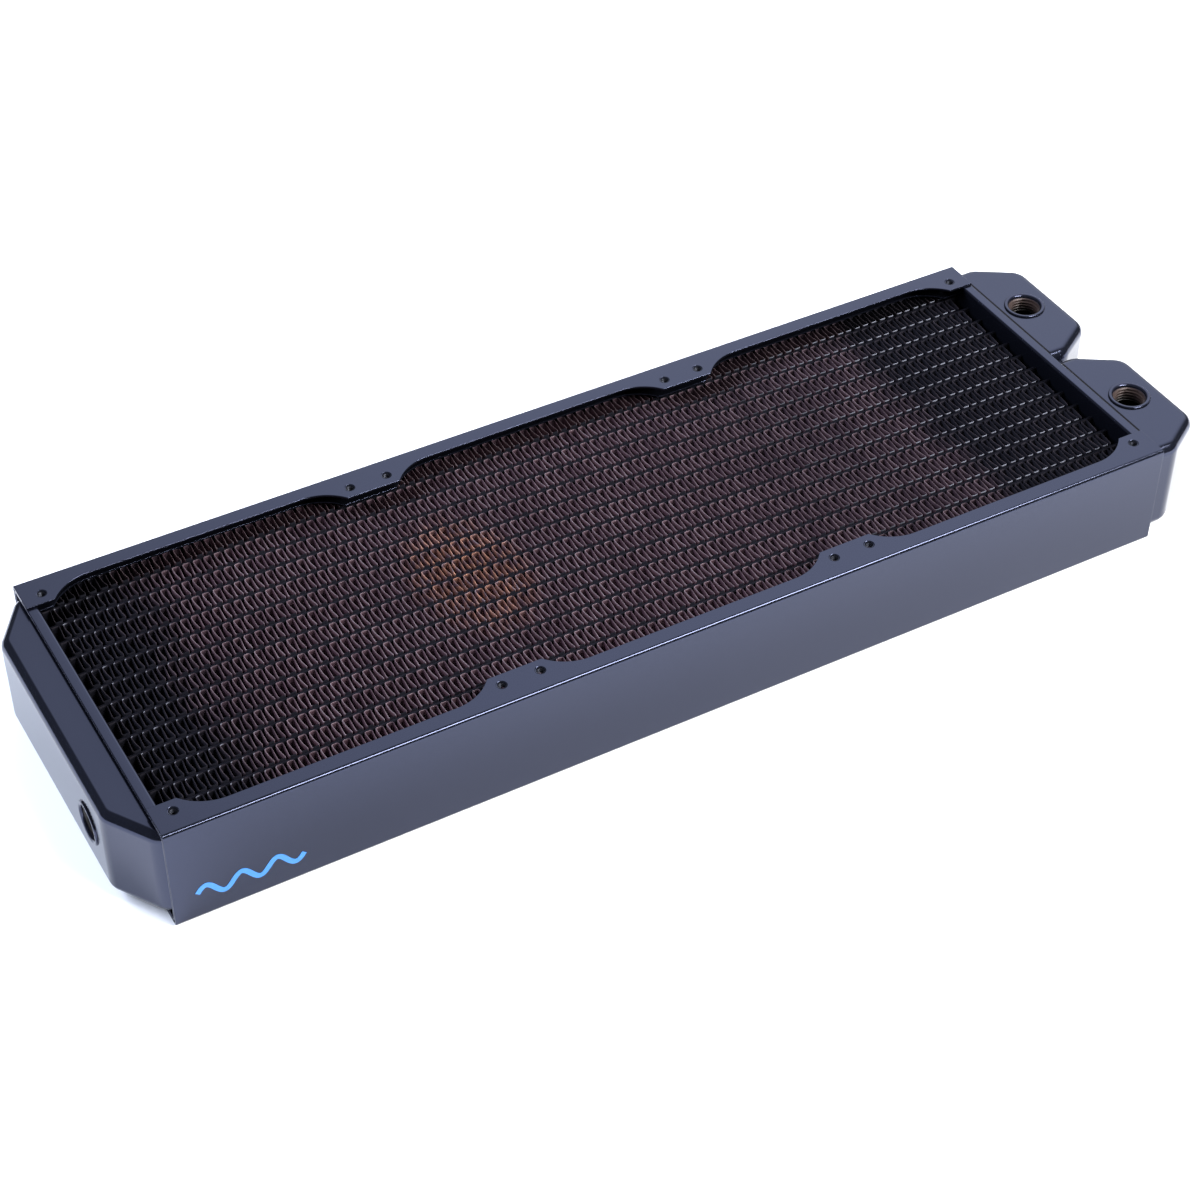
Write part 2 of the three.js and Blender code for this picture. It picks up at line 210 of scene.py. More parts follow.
# Studio: how bright the room, its wall and the backdrop are, and the cosine at which the wall ends
STUDIO_TINT = (0.90, 0.94, 1.04)
STUDIO_STRENGTH = 0.18
WALL_STRENGTH = 2.1
WALL_DIRECTION = (0.552, 0.592, 0.588)
WALL_EDGE = 0.80
BACKDROP_STRENGTH = 1.15
LEFT_LIGHT_TINT = (0.89, 0.98, 1.19)

# The photo's camera, fitted to the screw holes, in metres
CAMERA_SENSOR = 36
CAMERA_LENS = 78.45
CAMERA_PLACE = (-0.3813, -0.6502, 0.6811)
CAMERA_RIGHT = (0.8711, -0.4911, 0.0047)
CAMERA_FORWARD = (0.3674, 0.6453, -0.6698)

PAINT_METALLIC = 0.94
DULL_ROUGHNESS = 0.45

# The part of a noise's range that the roughness of a finish follows
NOISE_RANGE = (0.2, 0.8)

# Colours are linear RGB. A pair holds the two tones that a finish varies between
PAINT_TONES = (0.0362, 0.0410, 0.066), (0.0412, 0.0462, 0.072)
# Painted shade inside the screw holes
HOLE_SHADE_TONE = (0.040, 0.043, 0.055)
# Painted shadow at the joint where the horns leave their header
SEAM_SHADOW_TONE = (0.006, 0.006, 0.009)

FOIL_BROWN = (0.026, 0.014, 0.022), (0.058, 0.032, 0.045)
FOIL_BLACK = (0.004, 0.004, 0.006), (0.009, 0.009, 0.012)
# Painted light in the foil's colours: the copper tone and the second tone of the next two pairs make
# the painted warm glow, those two pairs are painted highlights along the top edges with some wear in
# them, and the last is a painted glint
FOIL_COPPER_GLOW = (0.15, 0.066, 0.042)
FOIL_LIT = (0.102, 0.054, 0.062), (0.28, 0.125, 0.07)
FOIL_RUBBED_AND_HIGHLIT = (0.170, 0.134, 0.152), (0.50, 0.24, 0.14)
FOIL_GLINT = (0.12, 0.125, 0.15)

TUBE_THIN_COAT = (0.0035, 0.0035, 0.005), (0.0085, 0.0085, 0.012)
TUBE_THICK_COAT = (0.004, 0.004, 0.006)

RING_TONE = (0.040, 0.044, 0.070)
THREAD_TONES = (0.050, 0.033, 0.029), (0.030, 0.020, 0.018)
# Painted shade deep in a port's thread
THREAD_SHADE_TONE = (0.005, 0.004, 0.004)

INK_TONES = (0.028, 0.165, 0.46), (0.036, 0.19, 0.52)
FLOOR_TONES = (0.86, 0.865, 0.87), (0.9, 0.9, 0.9)

# Painted shadow where the horns leave their header: a dark, dull band on the paint over the solder
# seam, for the shade under the header's step
SEAM_GAP = 0.05
SEAM_WIDTH = 1.7
SEAM_FADE = 0.35

# Where along the core the black overspray is, in metres along X, and over which span and how much the
# fins are made darker towards +X
LEFT_COAT = (-0.190, -0.140)
RIGHT_COAT = (0.100, 0.150)
RIGHTWARD_DARKENING = (-0.01, 0.10)
RIGHTWARD_DARKENING_AMOUNT = 0.62
COAT_UNEVENNESS = 0.03
TUBE_LEFT_COAT = (-0.17, -0.12)
TUBE_RIGHT_COAT = (0.05, 0.14)

# The patch of painted warm glow on the fins, bare copper with painted orange light as if bounced
# between the folds: its middle in metres, and how fast it fades along X and Y
GLOW_X = -0.063
GLOW_Y = 0.004
GLOW_FADE_X = 46
GLOW_FADE_Y = 31
GLOW_EDGE = 1.6
GLOW_MOST = 0.75

# How far below the top of the fins each tone reaches, in metres
LIT_DEPTHS = (0.0002, 0.0036)
RUBBED_AND_HIGHLIT_DEPTHS = (0.00005, 0.0008)
GLINT_DEPTHS = (0.0002, 0.0005)
POCKET_SHARPNESS = 4.0
COAT_HIDES = 0.9


# ---- Places, from the frame ----------------------------------------------------------------------


def box_mm(node):
    low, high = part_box(node)
    return low / MM, high / MM


panel_low, panel_high = box_mm("side_panel_near")
far_high = box_mm("side_panel_far")[1]
BODY_X = (panel_low.x + panel_high.x) / 2
BODY_HALF_LENGTH = (panel_high.x - panel_low.x) / 2
BODY_HALF_WIDTH = far_high.y
BODY_TOP = panel_high.z
BODY_END = panel_high.x
FIN_TOP = box_mm("fin_strip_01")[1].z


def fan_centres():
    return [BODY_X + step * FAN_PITCH for step in (-1, 0, 1)]


def ramp(value, start, end):
    """0 up to start, 1 from end, straight between them."""
    return min(1, max(0, (value - start) / (end - start)))


# ---- Mesh making ---------------------------------------------------------------------------------


def new_object(name, verts, faces):
    mesh = bpy.data.meshes.new(name)
    mesh.from_pydata([Vector(v) * MM for v in verts], [], faces)
    mesh.validate()
    made = bpy.data.objects.new(name, mesh)
    bpy.context.scene.collection.objects.link(made)
    return made


def face_outwards(obj):
    shape = bmesh.new()
    shape.from_mesh(obj.data)
    bmesh.ops.recalc_face_normals(shape, faces=shape.faces)
    shape.to_mesh(obj.data)
    shape.free()


def weld(obj):
    shape = bmesh.new()
    shape.from_mesh(obj.data)
    bmesh.ops.remove_doubles(shape, verts=shape.verts, dist=WELD_DISTANCE * MM)
    bmesh.ops.recalc_face_normals(shape, faces=shape.faces)
    shape.to_mesh(obj.data)
    shape.free()


def bake(obj):
    """Turns the object's modifiers into its mesh."""
    graph = bpy.context.evaluated_depsgraph_get()
    made = bpy.data.meshes.new_from_object(obj.evaluated_get(graph))
    obj.modifiers.clear()
    obj.data = made


def boolean(obj, tool, operation):
    step = obj.modifiers.new("join", "BOOLEAN")
    step.operation = operation
    step.solver = "EXACT"
    step.object = tool
    bake(obj)
    bpy.data.objects.remove(tool)


def round_edges(obj, width):
    step = obj.modifiers.new("edges", "BEVEL")
    step.width = width * MM
    step.segments = 3
    step.limit_method = "ANGLE"
    step.angle_limit = math.radians(ROUNDED_FROM)
    step.use_clamp_overlap = True
    bake(obj)


def smooth(obj, angle=50, weighted=True):
    mesh = obj.data
    mesh.polygons.foreach_set("use_smooth", [True] * len(mesh.polygons))
    mesh.set_sharp_from_angle(angle=math.radians(angle))
    if weighted:
        step = obj.modifiers.new("normals", "WEIGHTED_NORMAL")
        step.keep_sharp = True
        step.weight = 100
        bake(obj)


def finish_piece(obj, node, material):
    """Names the piece, gives it its finish and lets it stand for its CAD node."""
    obj.name = node + "_look"
    obj.data.name = obj.name
    obj.data.materials.clear()
    obj.data.materials.append(material)
    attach(obj, "root")
    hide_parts(node)


def store(obj, name, values):
    layer = obj.data.attributes.new(name, "FLOAT", "POINT")
    layer.data.foreach_set("value", values)


def arc(centre_a, centre_b, radius, start, end, steps):
    """Points of an arc in any plane, as pairs. Angles are in degrees."""
    points = []
    for k in range(steps + 1):
        angle = math.radians(start + (end - start) * k / steps)
        points.append((centre_a + radius * math.cos(angle), centre_b + radius * math.sin(angle)))
    return points


def skin(loops, capped=True):
    """Verts and faces of a skin over a row of closed loops that have equal numbers of points."""
    count = len(loops[0])
    verts = [point for loop in loops for point in loop]
    faces = []
    for row in range(len(loops) - 1):
        for k in range(count):
            a = row * count + k
            b = row * count + (k + 1) % count
            faces.append((a, b, b + count, a + count))
    if capped:
        faces.append(tuple(range(count)))
        faces.append(tuple(range((len(loops) - 1) * count, len(loops) * count)))
    return verts, faces


def prism(outline, low, high):
    """A prism over an outline in the XY plane."""
    loops = [[(x, y, z) for x, y in outline] for z in (low, high)]
    return skin(loops)


def lathe(profile, centre, steps):
    """A closed solid round a vertical axis. The profile starts and ends on the axis."""
    loops = []
    for radius, z in profile:
        ring = []
        for k in range(steps):
            turn = 2 * math.pi * k / steps
            ring.append((centre[0] + radius * math.cos(turn), centre[1] + radius * math.sin(turn), z))
        loops.append(ring)
    return skin(loops)


def joined(parts):
    verts, faces = [], []
    for part_verts, part_faces in parts:
        base = len(verts)
        verts.extend(part_verts)
        faces.extend(tuple(i + base for i in face) for face in part_faces)
    return verts, faces


# ---- Sheet metal channels ------------------------------------------------------------------------


def channel_section(web, edge, low, high, sheet, radius):
    """Closed C section as (y, z) pairs, for the -Y side."""
    inner = radius - sheet
    corner_y = -web + radius
    section = [(-edge, high)]
    section += arc(corner_y, high - radius, radius, 90, 180, BEND_STEPS)
    section += arc(corner_y, low + radius, radius, 180, 270, BEND_STEPS)
    section += [(-edge, low), (-edge, low + sheet)]
    section += arc(corner_y, low + radius, inner, 270, 180, BEND_STEPS)
    section += arc(corner_y, high - radius, inner, 180, 90, BEND_STEPS)
    section.append((-edge, high - sheet))
    return section


def bay_outline(centre_x, tab_edge, narrow_edge):
    """What one fan bay takes out of the flanges on the -Y side."""
    cusp = HOLE_SPACING / 2 - CUSP_OFFSET
    rise = SCALLOP_RADIUS - (narrow_edge - tab_edge)
    shoulder = cusp - math.sqrt(SCALLOP_RADIUS**2 - rise**2)
    start = math.degrees(math.atan2(rise, cusp - shoulder))
    arc_y = SCALLOP_RADIUS - narrow_edge
    inner_y = CUT_OVERSHOOT - tab_edge
    outline = [(centre_x + cusp, inner_y), (centre_x - cusp, inner_y)]
    outline += arc(centre_x - shoulder, arc_y, SCALLOP_RADIUS, 180 + start, 270, SCALLOP_STEPS)
    outline += arc(centre_x + shoulder, arc_y, SCALLOP_RADIUS, 270, 360 - start, SCALLOP_STEPS)
    return outline


def channel(web, edges, low, high, sheet, radius, half_length):
    """A folded channel on the -Y side with the three fan bays cut out of its flanges."""
    tab_edge, narrow_edge = edges
    section = channel_section(web, tab_edge, low, high, sheet, radius)
    loops = [[(x, y, z) for y, z in section] for x in (BODY_X - half_length, BODY_X + half_length)]
    made = new_object("channel", *skin(loops))
    face_outwards(made)
    outlines = [bay_outline(x, tab_edge, narrow_edge) for x in fan_centres()]
    bays = [prism(outline, low - CUT_OVERSHOOT, high + CUT_OVERSHOOT) for outline in outlines]
    tool = new_object("bays", *joined(bays))
    face_outwards(tool)
    boolean(made, tool, "DIFFERENCE")
    round_edges(made, EDGE_ROUNDING)
    return made


def hole_profile(face, inwards):
    """From outside the flange face, through the dish and down the thread, as (radius, z)."""
    profile = [(0, face - inwards), (DISH_RADIUS + CUT_FLARE, face - inwards)]
    profile.append((DISH_RADIUS + DISH_LIP, face - inwards * HOLE_MARGIN))
    profile.append((DISH_RADIUS, face + inwards * DISH_LIP))
    profile.append((THREAD_MAJOR + THREAD_ENTRY, face + inwards * DISH_SLOPE_DEPTH))
    profile.append((THREAD_MAJOR + THREAD_RELIEF, face + inwards * DISH_DEPTH))
    turns = int((COLLAR_REACH - DISH_DEPTH) / THREAD_PITCH)
    for turn in range(turns + 1):
        depth = DISH_DEPTH + (turn + 0.5) * THREAD_PITCH
        profile.append((THREAD_MINOR, face + inwards * depth))
        profile.append((THREAD_MAJOR, face + inwards * (depth + THREAD_PITCH / 2)))
    profile.append((0, profile[-1][1]))
    return profile


def collar_profile(face, inwards):
    """The collar pulled out of the flange round a screw hole, as (radius, z)."""
    start = face + inwards * SHEET / 2
    end = face + inwards * COLLAR_REACH
    profile = [(0, start), (COLLAR_RADIUS, start), (COLLAR_RADIUS, end - inwards * COLLAR_CHAMFER)]
    profile += [(COLLAR_RADIUS - COLLAR_CHAMFER, end), (0, end)]
    return profile


def screw_columns():
    return [x + side * HOLE_SPACING / 2 for x in fan_centres() for side in (-1, 1)]


def side_panel():
    edges = (TAB_EDGE, NARROW_EDGE)
    made = channel(BODY_HALF_WIDTH, edges, 0, BODY_TOP, SHEET, BEND_RADIUS, BODY_HALF_LENGTH)
    collars, drills = [], []
    for x in screw_columns():
        place = (x, -HOLE_SPACING / 2)
        for face, inwards in ((BODY_TOP, -1), (0, 1)):
            collars.append(lathe(collar_profile(face, inwards), place, HOLE_STEPS))
            drills.append(lathe(hole_profile(face, inwards), place, HOLE_STEPS))
    for shapes, operation in ((collars, "UNION"), (drills, "DIFFERENCE")):
        tool = new_object("tool", *joined(shapes))
        face_outwards(tool)
        boolean(made, tool, operation)
    return made


def core_side_plate():
    low, high = box_mm("core_side_plate_near")
    edges = (GUARD_TAB_EDGE, GUARD_NARROW_EDGE)
    half_length = (high.x - low.x) / 2
    return channel(-low.y, edges, low.z, high.z, GUARD_SHEET, GUARD_BEND_RADIUS, half_length)


def mark_holes(obj):
    """Stores painted shade inside the screw holes: the paint goes darker and duller below a small
    depth.
    """
    row = -HOLE_SPACING / 2
    columns = screw_columns()
    reach = THREAD_MAJOR + THREAD_ENTRY + HOLE_MARGIN
    values = []
    for vertex in obj.data.vertices:
        x, y, z = vertex.co / MM
        inside = min(math.hypot(x - column, y - row) for column in columns) < reach
        depth = min(z, BODY_TOP - z)
        values.append(ramp(depth, *HOLE_SHADE_DEPTHS) if inside else 0.0)
    store(obj, "deep", values)


def add_both_sides(build, name, material):
    """The far piece is the near one, turned half a turn about the middle of the fan field."""
    near = build()
    smooth(near)
    mark_holes(near)
    far = near.copy()
    far.data = near.data.copy()
    bpy.context.scene.collection.objects.link(far)
    middle = Matrix.Translation((BODY_X * MM, 0, 0))
    far.data.transform(middle @ Matrix.Rotation(math.pi, 4, "Z") @ middle.inverted())
    finish_piece(near, name + "_near", material)
    finish_piece(far, name + "_far", material)


# ---- Core ----------------------------------------------------------------------------------------


def tube_section(low, high, inset):
    """Closed loop of (y, z) pairs: a flat tube's outline, moved in by inset."""
    centre = (low.y + high.y) / 2
    radius = (high.y - low.y) / 2
    section = arc(centre, high.z - radius, radius - inset, 0, 180, TUBE_STEPS)
    section += arc(centre, low.z + radius, radius - inset, 180, 360, TUBE_STEPS)
    return section


def flat_tube(node):
    low, high = box_mm(node)
    stations = [(low.x, 0), (high.x, 0), (high.x, TUBE_WALL), (low.x, TUBE_WALL), (low.x, 0)]
    loops = [[(x, y, z) for y, z in tube_section(low, high, inset)] for x, inset in stations]
    made = new_object(node, *skin(loops, capped=False))
    weld(made)
    smooth(made, weighted=False)
    return made


def rounded_path(corners, radius, steps):
    """An open path of (x, y) corners with an arc-like curve at each inner corner."""
    path = [corners[0]]
    for before, corner, after in zip(corners, corners[1:], corners[2:]):
        corner, before, after = Vector(corner), Vector(before), Vector(after)
        reach_in = min(radius, (before - corner).length * 0.49)
        reach_out = min(radius, (after - corner).length * 0.49)
        start = corner + (before - corner).normalized() * reach_in
        end = corner + (after - corner).normalized() * reach_out
        for k in range(steps + 1):
            t = k / steps
            path.append(start * (1 - t) ** 2 + corner * 2 * t * (1 - t) + end * t**2)
    path.append(corners[-1])
    return [Vector(point) for point in path]


def serpentine(low, high, draw):
    """Centre line of one folded strip seen from above, with the small unevenness of real foil."""
    pitch = (high.x - low.x) / FIN_FOLDS * FOLD_SQUEEZE
    near, far = low.y + FOIL / 2, high.y - FOIL / 2
    middle = (near + far) / 2
    corners = []
    for fold in range(FIN_FOLDS):
        x = low.x + FOIL + fold * pitch
        lean = draw.uniform(-LEAN_PLAY, LEAN_PLAY)
        width = FAR_CREST - FOIL + draw.uniform(-CREST_PLAY, CREST_PLAY)
        foot = x + FAR_CREST - FOIL - RIGHT_LEG_LEAN + lean
        foot_width = NEAR_CREST - FOIL + draw.uniform(-FOOT_PLAY, FOOT_PLAY)
        corners.append((x, far + draw.uniform(-DEPTH_PLAY, 0)))
        corners.append((x + width, far + draw.uniform(-DEPTH_PLAY, 0)))
        corners.append((foot, near))
        if fold < FIN_FOLDS - 1:
            corners.append((foot + foot_width, near))
            next_x = low.x + FOIL + (fold + 1) * pitch
            corners.append(((foot + foot_width + next_x) / 2 - LEFT_LEG_BOW, middle))
    return rounded_path(corners, CREST_ROUNDING, CORNER_STEPS)


# The next functions take the direction that a strip runs in, which tells a fold's crests from its legs,
# and how near the point is: 0 at the strip's far edge and 1 at its near edge


def is_crest(along):
    return abs(along.x) > abs(along.y)


def wear_and_highlight_of(along, nearness):
    """How scuffed and painted-highlit a fold's top edge is: the painted highlight differs with the way
    each part faces. Its near crest isn't, being black with solder and painted shade.
    """
    if is_crest(along):
        return 0.0 if nearness > 0.5 else FAR_CREST_WEAR_AND_HIGHLIGHT
    if along.y > 0:
        edge_wear_and_highlight, change = LEFT_LEG_WEAR_AND_HIGHLIGHT
        return edge_wear_and_highlight + change * nearness
    edge_wear_and_highlight, change = RIGHT_LEG_WEAR_AND_HIGHLIGHT
    return edge_wear_and_highlight + change * nearness**2


# Painted shade over the solder: the near crest is black and each leg darkens towards its near end, in
# the pocket by the near tube
def pocket_shade_of(along, nearness, reach):
    return 1.0 if is_crest(along) and nearness > 0.5 else nearness * reach


def glint_of(x, along, nearness):
    """Painted glints on the black ends: highlights at the left far corners, and on the near crests on
    the right.
    """
    if x < 0:
        corner = nearness < CORNER_GLINT_REACH and along.y > 0.05
        return CORNER_GLINT * ramp(-x, *CORNER_GLINT_FROM) if corner else 0.0
    near_crest = nearness > CREST_GLINT_REACH and is_crest(along)
    return ramp(x, *CREST_GLINT_FROM) if near_crest else 0.0


def foil_section(point, across, low, high):
    """Loop of FOIL_POINTS round the foil, anticlockwise, with its edges cut to a ridge."""
    left, right = point + across, point - across
    cut = FOIL / 2 * FOIL_EDGE_CUT
    return [
        (left.x, left.y, low + cut),
        (left.x, left.y, high - cut),
        (point.x, point.y, high),
        (right.x, right.y, high - cut),
        (right.x, right.y, low + cut),
        (point.x, point.y, low),
    ]


def fin_strip(node, number):
    low, high = box_mm(node)
    draw = random.Random(SEED + number)
    path = serpentine(low, high, draw)
    loops, edge_wear_and_highlight, pocket_shade, glint = [], [], [], []
    for k, point in enumerate(path):
        along = (path[min(k + 1, len(path) - 1)] - path[max(k - 1, 0)]).normalized()
        across = Vector((-along.y, along.x)) * FOIL / 2
        loops.append(foil_section(point, across, low.z, high.z))
        nearness = (high.y - point.y) / (high.y - low.y)
        # A scale for wear and painted highlight, drawn afresh every few corners
        if k % (CORNERS_PER_RUB_AND_HIGHLIGHT * (CORNER_STEPS + 1)) == 0:
            rub_and_highlight = draw.uniform(*RUB_AND_HIGHLIGHT_RANGE)
            reach = draw.uniform(*POCKET_SHADE_RANGE)
        # Here bare holds the strength of a painted glint
        bare = glint_of(point.x, along, nearness) * min(1, rub_and_highlight + GLINT_LIFT)
        edge_wear_and_highlight += [wear_and_highlight_of(along, nearness) * rub_and_highlight] * FOIL_POINTS
        pocket_shade += [pocket_shade_of(along, nearness, reach)] * FOIL_POINTS
        glint += [0, 0, bare, bare, bare, 0]
    made = new_object(node, *skin(loops))
    face_outwards(made)
    smooth(made, angle=75, weighted=False)
    store(made, "edge_wear_and_highlight", edge_wear_and_highlight)
    store(made, "pocket_shade", pocket_shade)
    store(made, "glint", glint)
    return made


# ---- Headers -------------------------------------------------------------------------------------


def rounded_rectangle(half_width, low, high, radius):
    """Closed loop of (y, z) pairs."""
    loop = arc(half_width - radius, low + radius, radius, -90, 0, HEADER_CORNER_STEPS)
    loop += arc(half_width - radius, high - radius, radius, 0, 90, HEADER_CORNER_STEPS)
    loop += arc(radius - half_width, high - radius, radius, 90, 180, HEADER_CORNER_STEPS)
    loop += arc(radius - half_width, low + radius, radius, 180, 270, HEADER_CORNER_STEPS)
    return loop


def header_section(reach):
    """From the core side round the rim's lip and back to the pan's floor, as (along, inset)."""
    core_bend = arc(HEADER_CORE_BEND, 0, HEADER_CORE_BEND, 90, 180, HEADER_BEND_STEPS)
    lip = arc(0, 0, HEADER_LIP, 90, 0, HEADER_LIP_STEPS)
    section = [(HEADER_CORE_BEND - height, inset) for inset, height in core_bend]
    section += [(reach - HEADER_LIP + along, HEADER_LIP - rise) for along, rise in lip]
    section += [
        (reach, HEADER_RIM - HEADER_LIP),
        (reach - HEADER_LIP / 2, HEADER_RIM),
        (HEADER_SHEET + HEADER_INNER_BEND, HEADER_RIM),
        (HEADER_SHEET, HEADER_RIM + HEADER_INNER_BEND),
    ]
    return section


def header_slots(face, direction):
    """What the tubes take out of a header."""
    ends = (face - direction * SLOT_OVERSHOOT, face + direction * (HEADER_SHEET + SLOT_OVERSHOOT))
    slots = []
    for node in TUBE_NODES:
        section = tube_section(*box_mm(node), -SLOT_GAP)
        loops = [[(x, y, z) for y, z in section] for x in ends]
        slots.append(skin(loops))
    return joined(slots)


def header(node, direction):
    """A pan with an upturned rim, its open side towards the tank. direction is +1 or -1 along X."""
    low, high = box_mm(node)
    face = low.x if direction > 0 else high.x
    loops = []
    for along, inset in header_section(high.x - low.x):
        corner = max(HEADER_CORNER - inset, HEADER_CORNER_LEAST)
        outline = rounded_rectangle(high.y - inset, low.z + inset, high.z - inset, corner)
        loops.append([(face + direction * along, y, z) for y, z in outline])
    made = new_object(node, *skin(loops))
    face_outwards(made)
    tool = new_object("slots", *header_slots(face, direction))
    face_outwards(tool)
    boolean(made, tool, "DIFFERENCE")
    smooth(made)
    return made


def divider():
    low, high = box_mm("tank_divider")
    outline = [(low.x, low.y), (high.x, low.y), (high.x, high.y), (low.x, high.y)]
    made = new_object("divider", *prism(outline, low.z, high.z))
    face_outwards(made)
    round_edges(made, DIVIDER_ROUNDING)
    smooth(made)
    return made


# ---- Tanks ---------------------------------------------------------------------------------------


def horn_corners(low, high):
    """Outline of a tank at the +X end, anticlockwise from its mouth."""
    shoulder = high.x - HORN_SHOULDER_BACK
    return [
        (low.x, low.y),
        (shoulder, low.y),
        (high.x, low.y + HORN_TAPER),
        (high.x, high.y - HORN_TAPER),
        (shoulder, high.y),
        (low.x, high.y),
    ]


def return_corners(low, high):
    """Outline of the tank at the -X end, anticlockwise from its mouth."""
    shoulder = low.x + RETURN_SHOULDER_BACK
    return [
        (high.x, high.y),
        (shoulder, high.y),
        (low.x, high.y - RETURN_TAPER),
        (low.x, low.y + RETURN_TAPER),
        (shoulder, low.y),
        (high.x, low.y),
    ]


def rounded_outline(corners, radius, steps):
    """Points and outward normals along an open outline whose inner corners are round."""
    points, normals = [], []

    def outward(a, b):
        along = (b - a).normalized()
        return Vector((along.y, -along.x))

    corners = [Vector(corner) for corner in corners]
    points.append(corners[0])
    normals.append(outward(corners[0], corners[1]))
    for before, corner, after in zip(corners, corners[1:], corners[2:]):
        first, second = outward(before, corner), outward(corner, after)
        turn = first.angle(second)
        reach = radius * math.tan(turn / 2)
        start = corner + (before - corner).normalized() * reach
        centre = start - first * radius
        for k in range(steps + 1):
            normal = Matrix.Rotation(turn * k / steps, 2) @ first
            points.append(centre + normal * radius)
            normals.append(normal)
    points.append(corners[-1])
    normals.append(outward(corners[-2], corners[-1]))
    return points, normals


def tank_shell(outline, low, high, edge_radius, inset):
    """Rows of points over the top edge, down the side and under the bottom edge."""
    points, normals = outline
    rows = []
    radius = edge_radius - inset
    for k in range(EDGE_STEPS + 1):
        angle = math.pi / 2 * (1 - k / EDGE_STEPS)
        back = inset + radius * (1 - math.cos(angle))
        rows.append((back, high - inset - radius + radius * math.sin(angle)))
    for k in range(EDGE_STEPS + 1):
        angle = math.pi / 2 * k / EDGE_STEPS
        back = inset + radius * (1 - math.cos(angle))
        rows.append((back, low + inset + radius - radius * math.sin(angle)))
    return [[(*(p - n * back), z) for p, n in zip(points, normals)] for back, z in rows]


def open_box(outer, inner):
    """Verts and faces of a box with walls. Its mouth is where every row of points starts and ends."""
    count = len(outer[0])
    rows = len(outer)
    shift = rows * count
    verts = [point for row in outer + inner for point in row]
    faces = []
    for base in (0, shift):
        for row in range(rows - 1):
            for k in range(count - 1):
                a = base + row * count + k
                faces.append((a, a + 1, a + 1 + count, a + count))
        faces.append(tuple(range(base, base + count)))
        faces.append(tuple(range(base + (rows - 1) * count, base + rows * count)))
    mouth = [row * count for row in range(rows)]
    mouth += [row * count + count - 1 for row in reversed(range(rows))]
    for a, b in zip(mouth, mouth[1:] + mouth[:1]):
        faces.append((a, b, b + shift, a + shift))
    return verts, faces


def tank(corners, low, high, edge_radius, ports):
    """A deep-drawn box, open towards the header, with a hole under each port."""
    outline = rounded_outline(corners, TANK_CORNER, TANK_CORNER_STEPS)
    outer = tank_shell(outline, low, high, edge_radius, 0)
    inner = tank_shell(outline, low, high, edge_radius, TANK_WALL)
    made = new_object("tank", *open_box(outer, inner))
    face_outwards(made)
    holes = [drill(place, normal, BUSHING_RADIUS + BUSHING_GAP) for place, normal in ports]
    tool = new_object("holes", *joined(holes))
    face_outwards(tool)
    boolean(made, tool, "DIFFERENCE")
    smooth(made, angle=60)
    return made


def turned(verts, place, normal):
    """Moves points that were drawn round +Z onto a port."""
    turn = Vector((0, 0, 1)).rotation_difference(Vector(normal))
    return [tuple(turn @ Vector(v) + Vector(place)) for v in verts]


def drill(place, normal, radius):
    ends = [(0, -DRILL_REACH), (radius, -DRILL_REACH), (radius, DRILL_REACH), (0, DRILL_REACH)]
    verts, faces = lathe(ends, (0, 0), PORT_STEPS)
    return turned(verts, place, normal), faces


# ---- Ports ---------------------------------------------------------------------------------------


def ring_section():
    """Up the outside of a bushing, over its crowned ring and into its mouth, as (radius, z)."""
    inner_edge = PORT_MAJOR + MOUTH_GAP
    section = [(BUSHING_RADIUS, -BUSHING_DEPTH), (BUSHING_RADIUS, 0), (RING_RADIUS, 0)]
    round_centre = (RING_RADIUS - RING_ROUNDING, RING_HEIGHT - RING_ROUNDING)
    section += arc(*round_centre, RING_ROUNDING, 0, 90, RING_STEPS)
    section.append((LAND_RADIUS, RING_HEIGHT))
    for k in range(1, MOUTH_STEPS + 1):
        angle = math.radians(90 + 90 * k / MOUTH_STEPS)
        radius = LAND_RADIUS + (LAND_RADIUS - inner_edge) * math.cos(angle)
        section.append((radius, (RING_HEIGHT + MOUTH_SINK) * math.sin(angle) - MOUTH_SINK))
    section.append((inner_edge - MOUTH_FOOT_INSET, -MOUTH_FOOT_DEPTH))
    return section


def thread_radius(z, turn):
    """Radius of the G1/4 thread at a height and a turn. Its ridge rises over RIDGE_ENTRY turns."""
    phase = (z / PORT_PITCH + turn / (2 * math.pi)) % 1
    ridge = min(1, max(0, RIDGE_HEIGHT - abs(phase - 0.5) * RIDGE_SLOPE))
    entry = min(1, (-THREAD_START - z) / (PORT_PITCH * RIDGE_ENTRY))
    return PORT_MAJOR - (PORT_MAJOR - PORT_MINOR) * ridge * entry


def port_bushing(node, place, normal):
    turns = [2 * math.pi * k / PORT_STEPS for k in range(PORT_STEPS)]
    rows = [([radius] * PORT_STEPS, z) for radius, z in ring_section()]
    thread_length = BUSHING_DEPTH - THREAD_START - THREAD_RUN_OUT
    for k in range(THREAD_STEPS + 1):
        z = -THREAD_START - thread_length * k / THREAD_STEPS
        rows.append(([thread_radius(z, turn) for turn in turns], z))
    rows.append(([PORT_MAJOR] * PORT_STEPS, -BUSHING_DEPTH))
    loops = []
    for radii, z in rows:
        loops.append([(r * math.cos(turn), r * math.sin(turn), z) for r, turn in zip(radii, turns)])
    loops.append(loops[0])
    verts, faces = skin(loops, capped=False)
    made = new_object(node, turned(verts, place, normal), faces)
    weld(made)
    smooth(made, angle=48, weighted=False)
    return made


